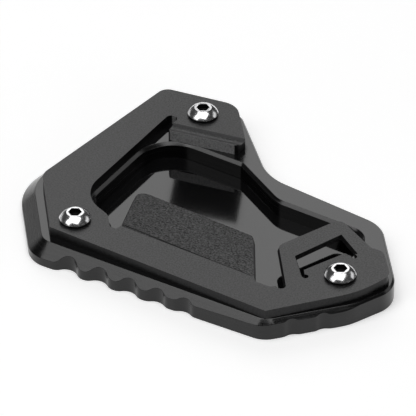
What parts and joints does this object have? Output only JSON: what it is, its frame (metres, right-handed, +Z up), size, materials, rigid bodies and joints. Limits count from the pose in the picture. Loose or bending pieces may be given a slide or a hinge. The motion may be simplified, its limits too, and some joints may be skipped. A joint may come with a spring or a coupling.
{
  "type": "kickstand foot enlarger",
  "caption": "Two-plate enlarger for a motorcycle kickstand foot: chamfered base with a pocket, clamp plate with hook, lip and tongue, button-head screws.",
  "frame": {"origin": "middle of the base plate's outline, on the ground face", "axes": "+X along the clamp plate's front edge to the right, +Y to the rear, +Z up"},
  "size_m": [0.1368, 0.1009, 0.0142],
  "materials": {
    "gloss_anodised": "black anodised, glossy, brushed facets",
    "satin_anodised": "black anodised, bead blasted",
    "polished_steel": "polished stainless steel"
  },
  "bodies": {
    "root": {"base_plate": "gloss_anodised", "clamp_plate": "satin_anodised", "screw_rear": "polished_steel", "screw_left": "polished_steel", "screw_right": "polished_steel"}
  },
  "joints": []
}
